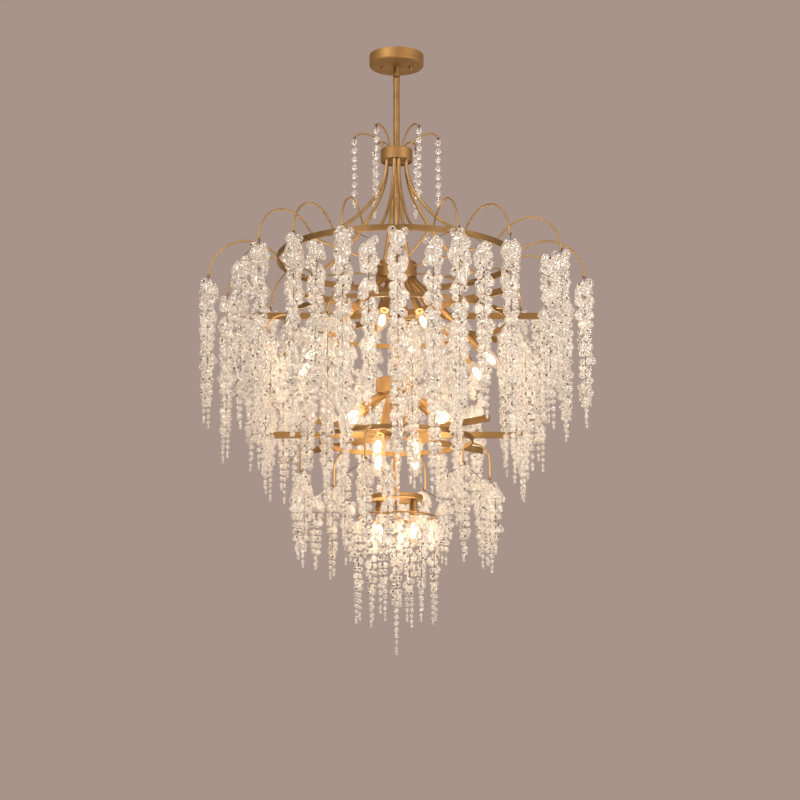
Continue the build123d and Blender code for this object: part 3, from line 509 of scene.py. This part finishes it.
def seats_round_wire(tree, given, spots, taper, reach, turn):
    """Seats in a ring round the wire at every spot, each moved a little by itself."""
    index = add_node(tree, "GeometryNodeInputIndex").outputs[0]
    radius = add_node(tree, "ShaderNodeMath", {
        0: given["Whorl radius"], 1: reach}, operation="MULTIPLY").outputs[0]
    ring = add_node(tree, "GeometryNodeMeshCircle", {
        "Vertices": given["Round"], "Radius": radius}).outputs[0]
    twist = add_node(tree, "ShaderNodeMath", {
        0: index, 1: radians(WHORL_TWIST), 2: radians(turn)}, operation="MULTIPLY_ADD").outputs[0]
    way = add_node(tree, "ShaderNodeCombineXYZ", {"Z": twist}).outputs[0]
    rings = add_node(tree, "GeometryNodeInstanceOnPoints", {
        "Points": spots, "Instance": ring, "Rotation": way, "Scale": taper}).outputs[0]
    seats = add_node(tree, "GeometryNodeRealizeInstances", {"Geometry": rings}).outputs[0]
    least = add_node(tree, "ShaderNodeMath", {
        0: given["Unevenness"], 1: -1}, operation="MULTIPLY").outputs[0]
    shift = add_node(tree, "FunctionNodeRandomValue", {
        0: least, 1: given["Unevenness"], "Seed": given["Seed"]}, data_type="FLOAT_VECTOR").outputs[0]
    return add_node(tree, "GeometryNodeSetPosition", {"Geometry": seats, "Offset": shift}).outputs[0]


def whorl_pieces(tree, given, shapes, spots, taper):
    """The balls, pears and petals of the whorls, and the heads of their pins."""
    here = add_node(tree, "GeometryNodeInputPosition").outputs[0]
    seat = add_node(tree, "ShaderNodeSeparateXYZ", {0: here}).outputs
    outward = add_node(tree, "ShaderNodeMath", {0: seat["Y"], 1: seat["X"]}, operation="ARCTAN2").outputs[0]
    local_size = add_node(tree, "ShaderNodeMapRange", {
        "Value": seat["Z"], "From Min": given["Whorl top"], "From Max": given["Whorl bottom"],
        "To Min": given["Top size"], "To Max": given["Lowest size"]}).outputs["Result"]
    waver = add_node(tree, "FunctionNodeRandomValue", {
        2: SMALLEST_WAVER, 3: LARGEST_WAVER, "Seed": given["Seed"]}).outputs[1]
    size = add_node(tree, "ShaderNodeMath", {0: local_size, 1: waver}, operation="MULTIPLY").outputs[0]
    chance = add_node(tree, "FunctionNodeRandomValue", {2: 0.0, 3: 1.0, "Seed": given["Seed"]}).outputs[1]
    favour = add_node(tree, "ShaderNodeMapRange", {
        "Value": seat["Z"], "From Min": given["Whorl top"], "From Max": given["Whorl bottom"],
        "To Min": TOP_FAVOUR, "To Max": LOWEST_FAVOUR}).outputs["Result"]
    lot = add_node(tree, "ShaderNodeMath", {0: chance, 1: favour}, operation="ADD").outputs[0]
    glass_seats = seats_round_wire(tree, given, spots, taper, reach=1.0, turn=0)
    pin_seats = seats_round_wire(tree, given, spots, taper, PIN_REACH, PIN_TURN)
    pieces = []
    for shape, seats, drawn, above, below, tilt, scale in (
            ("Ball", glass_seats, lot, LOWEST_LOT, BALL_LIMIT, 0, size),
            ("Pear", glass_seats, lot, BALL_LIMIT, PEAR_LIMIT, PEAR_TILT, size),
            ("Petal", glass_seats, lot, PEAR_LIMIT, HIGHEST_LOT, 0, size),
            ("Pin", pin_seats, chance, LOWEST_LOT, PIN_LIMIT, 0, waver)):
        over = add_node(tree, "FunctionNodeCompare", {
            0: drawn, 1: above}, operation="GREATER_EQUAL").outputs[0]
        under = add_node(tree, "FunctionNodeCompare", {0: drawn, 1: below}, operation="LESS_THAN").outputs[0]
        chosen = add_node(tree, "FunctionNodeBooleanMath", {0: over, 1: under}, operation="AND").outputs[0]
        way = add_node(tree, "ShaderNodeCombineXYZ", {"Y": tilt, "Z": outward}).outputs[0]
        pieces.append(add_node(tree, "GeometryNodeInstanceOnPoints", {
            "Points": seats, "Selection": chosen, "Instance": shapes[shape], "Rotation": way,
            "Scale": scale}).outputs[0])
    return pieces


def bell_flowers(tree, given, shapes, spots, taper):
    """A bell flower that caps the string, and more of them at equal counts down the wire."""
    index = add_node(tree, "GeometryNodeInputIndex").outputs[0]
    remainder = add_node(tree, "ShaderNodeMath", {
        0: index, 1: given["Bell every"]}, operation="MODULO").outputs[0]
    capped = add_node(tree, "FunctionNodeCompare", {
        0: remainder, 1: REMAINDER_LIMIT}, operation="LESS_THAN").outputs[0]
    return add_node(tree, "GeometryNodeInstanceOnPoints", {
        "Points": spots, "Selection": capped, "Instance": shapes["Bell"], "Scale": taper}).outputs[0]


def bead_tails(tree, given, shapes):
    """Bead tails of uneven lengths, the pear at the end of each, and their threads."""
    tail_end = add_node(tree, "ShaderNodeCombineXYZ", {"Z": given["Tail length"]}).outputs[0]
    tail_line = add_node(tree, "GeometryNodeCurvePrimitiveLine", {
        "Start": (0, 0, 0), "End": tail_end}).outputs[0]
    copies = add_node(tree, "GeometryNodeDuplicateElements", {
        "Geometry": tail_line, "Amount": given["Tails"]}, domain="SPLINE").outputs
    number = copies["Duplicate Index"]
    longest = add_node(tree, "FunctionNodeCompare", {
        2: number, 3: 0}, data_type="INT", operation="EQUAL").outputs[0]
    shorter = add_node(tree, "FunctionNodeRandomValue", {
        2: SHORTEST_TAIL, 3: NEXT_LONGEST_TAIL, "ID": number, "Seed": given["Seed"]}).outputs[1]
    reach = add_node(tree, "GeometryNodeSwitch", {
        "Switch": longest, "False": shorter, "True": 1.0}, input_type="FLOAT").outputs[0]
    gap = add_node(tree, "ShaderNodeMath", {0: 2 * pi, 1: given["Tails"]}, operation="DIVIDE").outputs[0]
    angle = add_node(tree, "ShaderNodeMath", {
        0: number, 1: gap, 2: given["Seed"]}, operation="MULTIPLY_ADD").outputs[0]
    place = {}
    for direction, ratio in (("X", "COSINE"), ("Y", "SINE")):
        out = add_node(tree, "ShaderNodeMath", {0: angle}, operation=ratio).outputs[0]
        place[direction] = add_node(tree, "ShaderNodeMath", {
            0: out, 1: given["Tail spread"]}, operation="MULTIPLY").outputs[0]
    here = add_node(tree, "GeometryNodeInputPosition").outputs[0]
    height = add_node(tree, "ShaderNodeSeparateXYZ", {0: here}).outputs["Z"]
    place["Z"] = add_node(tree, "ShaderNodeMath", {
        0: height, 1: reach, 2: given["Tail top"]}, operation="MULTIPLY_ADD").outputs[0]
    hung = add_node(tree, "ShaderNodeCombineXYZ", place).outputs[0]
    lines = add_node(tree, "GeometryNodeSetPosition", {
        "Geometry": copies["Geometry"], "Position": hung}).outputs[0]
    spots = add_node(tree, "GeometryNodeResampleCurve", {
        "Curve": lines, "Length": given["Bead pitch"]}, mode="LENGTH").outputs[0]
    along = add_node(tree, "GeometryNodeSplineParameter").outputs["Factor"]
    size = add_node(tree, "ShaderNodeMapRange", {
        "Value": along, "To Min": given["First bead"], "To Max": given["Last bead"]}).outputs["Result"]
    beads = add_node(tree, "GeometryNodeInstanceOnPoints", {
        "Points": spots, "Instance": shapes["Bead"], "Scale": size}).outputs[0]
    tip = add_node(tree, "GeometryNodeCurveEndpointSelection", {"Start Size": 0, "End Size": 1}).outputs[0]
    ends = add_node(tree, "GeometryNodeInstanceOnPoints", {
        "Points": spots, "Selection": tip, "Instance": shapes["Pear"], "Scale": TAIL_END_SCALE}).outputs[0]
    section = add_node(tree, "GeometryNodeCurvePrimitiveCircle", {
        "Resolution": THREAD_SIDES, "Radius": THREAD_RADIUS}).outputs[0]
    threads = add_node(tree, "GeometryNodeCurveToMesh", {
        "Curve": lines, "Profile Curve": section, "Fill Caps": True}).outputs[0]
    return [beads, ends, threads]


def hanging_wire(tree, given):
    """The wire inside the whorls, with its eye on the peg."""
    start = add_node(tree, "GeometryNodeSwitch", {
        "Switch": given["Eye"], "False": given["Whorl top"], "True": EYE_FOOT}, input_type="FLOAT").outputs[0]
    first = add_node(tree, "ShaderNodeCombineXYZ", {"Z": start}).outputs[0]
    last = add_node(tree, "ShaderNodeCombineXYZ", {"Z": given["Whorl bottom"]}).outputs[0]
    straight = add_node(tree, "GeometryNodeCurvePrimitiveLine", {"Start": first, "End": last}).outputs[0]
    flat_eye = add_node(tree, "GeometryNodeCurvePrimitiveCircle", {
        "Resolution": EYE_STEPS, "Radius": EYE_RADIUS}).outputs[0]
    upright_eye = add_node(tree, "GeometryNodeTransform", {
        "Geometry": flat_eye, "Rotation": (pi / 2, 0, 0)}).outputs[0]
    eye = add_node(tree, "GeometryNodeSwitch", {
        "Switch": given["Eye"], "True": upright_eye}, input_type="GEOMETRY").outputs[0]
    lines = add_node(tree, "GeometryNodeJoinGeometry")
    for line in (straight, eye):
        tree.links.new(line, lines.inputs[0])
    section = add_node(tree, "GeometryNodeCurvePrimitiveCircle", {
        "Resolution": WIRE_SIDES, "Radius": given["Wire"]}).outputs[0]
    return add_node(tree, "GeometryNodeCurveToMesh", {
        "Curve": lines.outputs[0], "Profile Curve": section, "Fill Caps": True}).outputs[0]


def string_tree():
    """One string of a bunch: whorls of glass down a wire, and bead tails under them, from named sizes."""
    tree = bpy.data.node_groups.new("crystal_string", "GeometryNodeTree")
    for kind, names in STRING_SOCKETS.items():
        for name in names:
            tree.interface.new_socket(name, in_out="INPUT", socket_type=kind)
    tree.interface.new_socket("String", in_out="OUTPUT", socket_type="NodeSocketGeometry")
    given = add_node(tree, "NodeGroupInput").outputs
    shapes = {
        name: add_node(tree, "GeometryNodeObjectInfo", {"Object": given[name]}).outputs["Geometry"]
        for name in STRING_SOCKETS["NodeSocketObject"]
    }
    spots, taper = whorl_spots(tree, given)
    flowers = []
    for pieces in (
            *whorl_pieces(tree, given, shapes, spots, taper), bell_flowers(tree, given, shapes, spots, taper)):
        flowers.append(add_node(tree, "GeometryNodeSwitch", {
            "Switch": given["Flowers"], "True": pieces}, input_type="GEOMETRY").outputs[0])
    balls, pears, petals, pins, bells = flowers
    glass_parts = [balls, pears, petals, bells, *bead_tails(tree, given, shapes)]
    metal_parts = [hanging_wire(tree, given), pins]
    string = add_node(tree, "GeometryNodeJoinGeometry")
    for parts, material in ((glass_parts, "Glass"), (metal_parts, "Metal")):
        joined = add_node(tree, "GeometryNodeJoinGeometry")
        for part in parts:
            tree.links.new(part, joined.inputs[0])
        made = add_node(tree, "GeometryNodeRealizeInstances", {"Geometry": joined.outputs[0]}).outputs[0]
        finished = add_node(tree, "GeometryNodeSetMaterial", {
            "Geometry": made, "Material": given[material]}).outputs[0]
        tree.links.new(finished, string.inputs[0])
    add_node(tree, "NodeGroupOutput", {"String": string.outputs[0]})
    return tree


STRING_TREE = string_tree()
SOCKET_IDENTIFIERS = {
    item.name: item.identifier for item in STRING_TREE.interface.items_tree if item.in_out == "INPUT"}
BUNCH_SIZES = {
    "Bell": bell(), "Ball": ball(), "Petal": petal(), "Pear": pear(), "Bead": bead(), "Pin": pin(),
    "Glass": CRYSTAL, "Metal": DARK_BRASS, "Flowers": True, "Round": 4, "Bell every": 8.0,
    "Whorl radius": 13.5 * MM, "Top size": 1.04, "Lowest size": 0.68, "Unevenness": 2 * MM, "Tails": 2,
    "Tail spread": 6 * MM, "Bead pitch": 14 * MM, "First bead": 1.06, "Last bead": 0.7, "Eye": True,
    "Wire": 0.7 * MM,
}


def grown(name, strings, ties=()):
    """Run the string tree once for each place and its sizes, and keep the result as one plain mesh."""
    combined = bmesh.new()
    for place, sizes in strings:
        seedling = in_scene(name, bpy.data.meshes.new(name))
        modifier = seedling.modifiers.new("growth", "NODES")
        modifier.node_group = STRING_TREE
        for socket, value in {**BUNCH_SIZES, **sizes}.items():
            modifier[SOCKET_IDENTIFIERS[socket]] = value
        graph = bpy.context.evaluated_depsgraph_get()
        mesh = bpy.data.meshes.new_from_object(seedling.evaluated_get(graph))
        mesh.transform(place)
        combined.from_mesh(mesh)
        bpy.data.objects.remove(seedling)
        materials = list(mesh.materials)
        bpy.data.meshes.remove(mesh)
    for start, end in ties:
        before = len(combined.faces)
        round_bar(combined, start, end, BUNCH_SIZES["Wire"], WIRE_SIDES)
        combined.faces.ensure_lookup_table()
        for face in combined.faces[before:]:
            face.material_index = materials.index(BUNCH_SIZES["Metal"])
    plain = bpy.data.meshes.new(name)
    for material in materials:
        plain.materials.append(material)
    combined.to_mesh(plain)
    combined.free()
    return in_scene(name, plain)


# A string's whorls: how far apart, over what share of its length, and how far under its peg or hoop
WHORL_PITCH = 19 * MM
WHORL_SHARE = 0.8
EYE_DROP = 16 * MM
HOOP_DROP = 10 * MM

# Room under the last bead for the pear at the end of a tail
END_DROP = 15 * MM

# A side string's tie slopes down from the eye, ends upright, and has the first whorl close under it
SIDE_STRING_DROP = 34 * MM
SIDE_WHORL_DROP = 8 * MM
SIDE_TIE_END = 10 * MM


def string_sizes(length, start=EYE_DROP, share=WHORL_SHARE, **changed):
    """Sizes of one string: whorls down its upper part, then bead tails to its full length."""
    zone = share * (length - start)
    return {
        "Whorls": round(zone / WHORL_PITCH) + 1, "Whorl top": -start, "Whorl bottom": -start - zone,
        "Tail top": -start - zone, "Tail length": -(length - start - zone - END_DROP), **changed,
    }


def side_string(aside, length, **changed):
    """A string tied in beside the first one, without an eye of its own."""
    return aside, string_sizes(length, SIDE_STRING_DROP + SIDE_WHORL_DROP, Eye=False, **changed)


# Strings by their lengths from the peg; a bunch is one string and those tied in beside it
SLIM = {"share": 0.74, "Top size": 0.86, "Lowest size": 0.54}
SLIMMER = {"share": 0.66, "Top size": 0.8, "Lowest size": 0.48}
CAPPED_ONLY = {
    "share": 0.62, "Top size": 0.8, "Lowest size": 0.6, "Bell every": 99.0, "Tail spread": 4 * MM}
SHORT = (string_sizes(392 * MM),)
MEDIUM = (string_sizes(450 * MM),)
LONG = (string_sizes(526 * MM),)
FRONT = (string_sizes(660 * MM),)
LEFT_PAIR = (*MEDIUM, side_string(-62 * MM, 452 * MM))
RIGHT_PAIR = (*LONG, side_string(62 * MM, 450 * MM))
TRIPLE = (*LONG, side_string(-64 * MM, 452 * MM), side_string(60 * MM, 450 * MM))
MIDDLE = (
    string_sizes(392 * MM, **SLIM), side_string(-54 * MM, 350 * MM, **SLIM),
    side_string(54 * MM, 316 * MM, **SLIM))
LONG_MIDDLE = (
    string_sizes(460 * MM), side_string(-54 * MM, 430 * MM), side_string(54 * MM, 400 * MM))
LOW = (
    string_sizes(240 * MM, **SLIM), side_string(-54 * MM, 200 * MM, **SLIM),
    side_string(54 * MM, 222 * MM, **SLIM))

# Bunches of each tier, in the order of their nodes' numbers
OUTER_BUNCHES = (
    SHORT, SHORT, TRIPLE, RIGHT_PAIR, TRIPLE, RIGHT_PAIR, TRIPLE, MEDIUM,
    SHORT, LEFT_PAIR, RIGHT_PAIR, RIGHT_PAIR, FRONT, TRIPLE, LONG, LEFT_PAIR,
)
MIDDLE_BUNCHES = (MIDDLE, LONG_MIDDLE, LONG_MIDDLE, MIDDLE)
CROWN_STRAND = ({
    "Flowers": False, "Whorls": 2, "Whorl top": -10 * MM, "Whorl bottom": -20 * MM, "Tails": 1,
    "Tail spread": 0.0, "Tail top": -14 * MM, "Tail length": -159 * MM, "Bead pitch": 22 * MM,
    "First bead": 1.25, "Last bead": 1.2,
},)
TASSEL_STRAND = string_sizes(262 * MM, HOOP_DROP, **SLIMMER, Eye=False)
TASSEL_CENTRE = string_sizes(337 * MM, HOOP_DROP, **CAPPED_ONLY, Eye=False)
SEED_STEP = 3


def hook_of(node):
    """The place of a hanging piece's eye on its peg, with X pointing out from the stem."""
    joint = JOINTS[node]
    azimuth = atan2(joint["axis"][0], -joint["axis"][1])
    return Matrix.Translation(joint["pos_m"]) @ Matrix.Rotation(azimuth, 4, "Z")


def hang_tier(tier, bunches, first_seed):
    """Dress every hanging piece of one tier and let it swing with its body."""
    hanging = sorted(node for node in JOINTS if node.startswith(tier))
    for number, node in enumerate(hanging):
        seed = first_seed + SEED_STEP * number
        hook = hook_of(node)
        middle_string, *side_strings = bunches[number % len(bunches)]
        strings = [(hook, {**middle_string, "Seed": seed})]
        ties = []
        for aside, side_sizes in side_strings:
            beside = hook @ Matrix.Translation((0, aside, 0))
            strings.append((beside, {**side_sizes, "Seed": seed + len(strings)}))
            tie_end = hook @ Vector((0, aside, -SIDE_STRING_DROP))
            ties.append((hook @ Vector((0, 0, EYE_FOOT)), tie_end))
            ties.append((tie_end, tie_end - Z_WAY * SIDE_TIE_END))
        piece = grown(f"{node}_crystal", strings, ties)
        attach(piece, node)
        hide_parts(node)


hang_tier("outer_bunch", OUTER_BUNCHES, first_seed=11)
hang_tier("middle_bunch", MIDDLE_BUNCHES, first_seed=71)
hang_tier("lower_bunch", (LOW,), first_seed=101)
hang_tier("crown_strand", (CROWN_STRAND,), first_seed=131)


def tassel_crystal():
    """The strands of the tassel: one under each seat of its hoop, and a longer one in the middle."""
    middle = Matrix.Translation((0, 0, TASSEL_PIVOT - TASSEL_STEM - TASSEL_HOOP_WIRE))
    strands = []
    for number, turn in enumerate(TASSEL_STRAND_TURNS):
        seat = Matrix.Rotation(radians(turn), 4, "Z") @ Matrix.Translation(X_WAY * TASSEL_HOOP_RADIUS)
        strands.append((middle @ seat, {**TASSEL_STRAND, "Seed": TASSEL_SEED + number}))
    strands.append((middle, {**TASSEL_CENTRE, "Seed": TASSEL_CENTRE_SEED}))
    return grown("bottom_tassel_crystal", strands)


def tassel_hoop():
    """The tassel's hoop, cross bar, stem and eye, bent from brass wire."""
    shape = bmesh.new()
    middle = Z_WAY * (TASSEL_PIVOT - TASSEL_STEM - TASSEL_HOOP_WIRE / 2)
    wire_loop(
        shape, middle, Y_WAY, Z_WAY, TASSEL_HOOP_RADIUS, TASSEL_HOOP_WIRE, TASSEL_HOOP_STEPS,
        TASSEL_HOOP_SIDES)
    bar_turn = radians(TASSEL_BAR_TURN)
    bar_way = Vector((cos(bar_turn), sin(bar_turn), 0)) * TASSEL_HOOP_RADIUS
    round_bar(shape, middle - bar_way, middle + bar_way, TASSEL_HOOP_WIRE / 2, TASSEL_HOOP_SIDES)
    eye_foot = Z_WAY * (TASSEL_PIVOT + EYE_FOOT)
    round_bar(shape, middle, eye_foot, TASSEL_STEM_WIRE / 2, TASSEL_HOOP_SIDES)
    wire_loop(
        shape, Z_WAY * TASSEL_PIVOT, Z_WAY, Y_WAY, EYE_RADIUS, TASSEL_EYE_WIRE, EYE_STEPS, WIRE_SIDES)
    bmesh.ops.recalc_face_normals(shape, faces=shape.faces)
    # The round of the wire is smooth, and the ends of the bars are flat
    for face in shape.faces:
        face.smooth = len(face.verts) == 4
    mesh = plain_mesh("tassel_hoop", shape)
    mesh.materials.append(BRASS)
    return in_scene("tassel_hoop", mesh)


tassel = tassel_crystal()
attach(tassel, "bottom_tassel")
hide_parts("bottom_tassel")
hoop = tassel_hoop()
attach(hoop, "bottom_tassel")


def bulb_light(place):
    """One small warm light in a bulb, which tilts with the frame."""
    light = bpy.data.lights.new("bulb_light", "POINT")
    light.energy = BULB_WATTS
    light.color = srgb("#ffe6c6")[:3]
    light.shadow_soft_size = HEART_WIDTH / 2
    lamp = in_scene("bulb_light", light)
    lamp.location = place.translation
    lamp.parent = frame["bodies"]["frame"]


def bulb_filaments():
    """The bright heart of every bulb, and the light that it gives."""
    shape = bmesh.new()
    heart = Matrix.Diagonal((HEART_WIDTH / 2, HEART_WIDTH / 2, HEART_LENGTH / 2, 1))
    for radius, height, lean, azimuths in (
            STEEP_UPPER_LAMPS, WIDE_UPPER_LAMPS, STEEP_LOWER_LAMPS, WIDE_LOWER_LAMPS, BOTTOM_LAMPS):
        for azimuth in azimuths:
            place = (
                Matrix.Rotation(radians(azimuth), 4, "Z") @ Matrix.Translation((radius, 0, height))
                @ Matrix.Rotation(radians(-lean), 4, "Y"))
            bmesh.ops.create_uvsphere(
                shape, u_segments=12, v_segments=8, radius=1, matrix=place @ heart)
            bulb_light(place)
    for face in shape.faces:
        face.smooth = True
    mesh = plain_mesh("bulb_filaments", shape)
    mesh.materials.append(FILAMENT)
    return in_scene("bulb_filaments", mesh)


filaments = bulb_filaments()
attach(filaments, "frame")

# Studio lights, all aimed at the middle of the chandelier
LIGHT_AIM = (0, 0, -0.75)


def studio_light(name, place, size, watts, colour):
    """A soft square light that faces the middle of the chandelier."""
    light = bpy.data.lights.new(name, "AREA")
    light.energy = watts
    light.size = size
    light.color = srgb(colour)[:3]
    lamp = in_scene(name, light)
    lamp.location = place
    lamp.rotation_mode = "QUATERNION"
    lamp.rotation_quaternion = (Vector(LIGHT_AIM) - Vector(place)).to_track_quat("-Z", "Y")


studio_light("key_light", place=(-2.6, -3.4, 1.8), size=1.8, watts=155, colour="#fff4e6")
studio_light("fill_light", place=(3.0, -2.6, -0.4), size=2.2, watts=112, colour="#fff8f0")
studio_light("back_light", place=(0.3, 2.6, 2.4), size=2.0, watts=30, colour="#ffffff")


def taupe_room():
    """Taupe plaster all round, as the camera, the glass and the metal see it, and the room's soft light."""
    world = bpy.data.worlds.new("taupe_room")
    world.use_nodes = True
    tree = world.node_tree
    tree.nodes.clear()
    seen = add_node(tree, "ShaderNodeLightPath").outputs
    direct = add_node(tree, "ShaderNodeMath", {
        0: seen["Is Camera Ray"], 1: seen["Is Glossy Ray"]}, operation="MAXIMUM")
    shown = add_node(tree, "ShaderNodeMath", {
        0: direct.outputs[0], 1: seen["Is Transmission Ray"]}, operation="MAXIMUM")
    wall = add_node(tree, "ShaderNodeBackground", {"Color": srgb("#a8948a"), "Strength": 1.0})
    ambient = add_node(tree, "ShaderNodeBackground", {"Color": srgb("#f3ece6"), "Strength": 0.45})
    sky = add_node(tree, "ShaderNodeMixShader", {
        0: shown.outputs[0], 1: ambient.outputs[0], 2: wall.outputs[0]})
    add_node(tree, "ShaderNodeOutputWorld", {"Surface": sky.outputs[0]})
    return world


bpy.context.scene.world = taupe_room()

# Pale floor, a room's height below the ceiling
FLOOR_HALF = 40.0
FLOOR_HEIGHT = -2.7


def pale_plaster():
    """Smoothed plaster, matt: partly its own paleness, so that far off it is as pale as under the crystal."""
    material, tree, output = new_material("pale_plaster_floor")
    plaster = add_node(tree, "ShaderNodeBsdfPrincipled", {
        "Base Color": srgb("#a39a93"), "Roughness": 0.8,
        "Emission Color": srgb("#efe4dc"), "Emission Strength": 0.32})
    tree.links.new(plaster.outputs[0], output.inputs["Surface"])
    return material


floor_mesh = bpy.data.meshes.new("floor")
floor_mesh.from_pydata(
    [(x * FLOOR_HALF, y * FLOOR_HALF, FLOOR_HEIGHT) for x, y in ((-1, -1), (1, -1), (1, 1), (-1, 1))],
    [], [(0, 1, 2, 3)])
floor_mesh.materials.append(pale_plaster())
floor = in_scene("floor", floor_mesh)

# Camera below the crystal's middle, tipped up
CAMERA_PLACE = (0.009, -5.316, -1.9885)
CAMERA_TIP = 11.5
CAMERA_LENS = 97.65
CAMERA_SENSOR = 36
camera_data = bpy.data.cameras.new("photo_camera")
camera_data.lens = CAMERA_LENS
camera_data.sensor_width = CAMERA_SENSOR
camera = in_scene("photo_camera", camera_data)
camera.location = CAMERA_PLACE
camera.rotation_euler = (radians(90 + CAMERA_TIP), 0, 0)
bpy.context.scene.camera = camera
bpy.context.scene.view_settings.view_transform = "Standard"
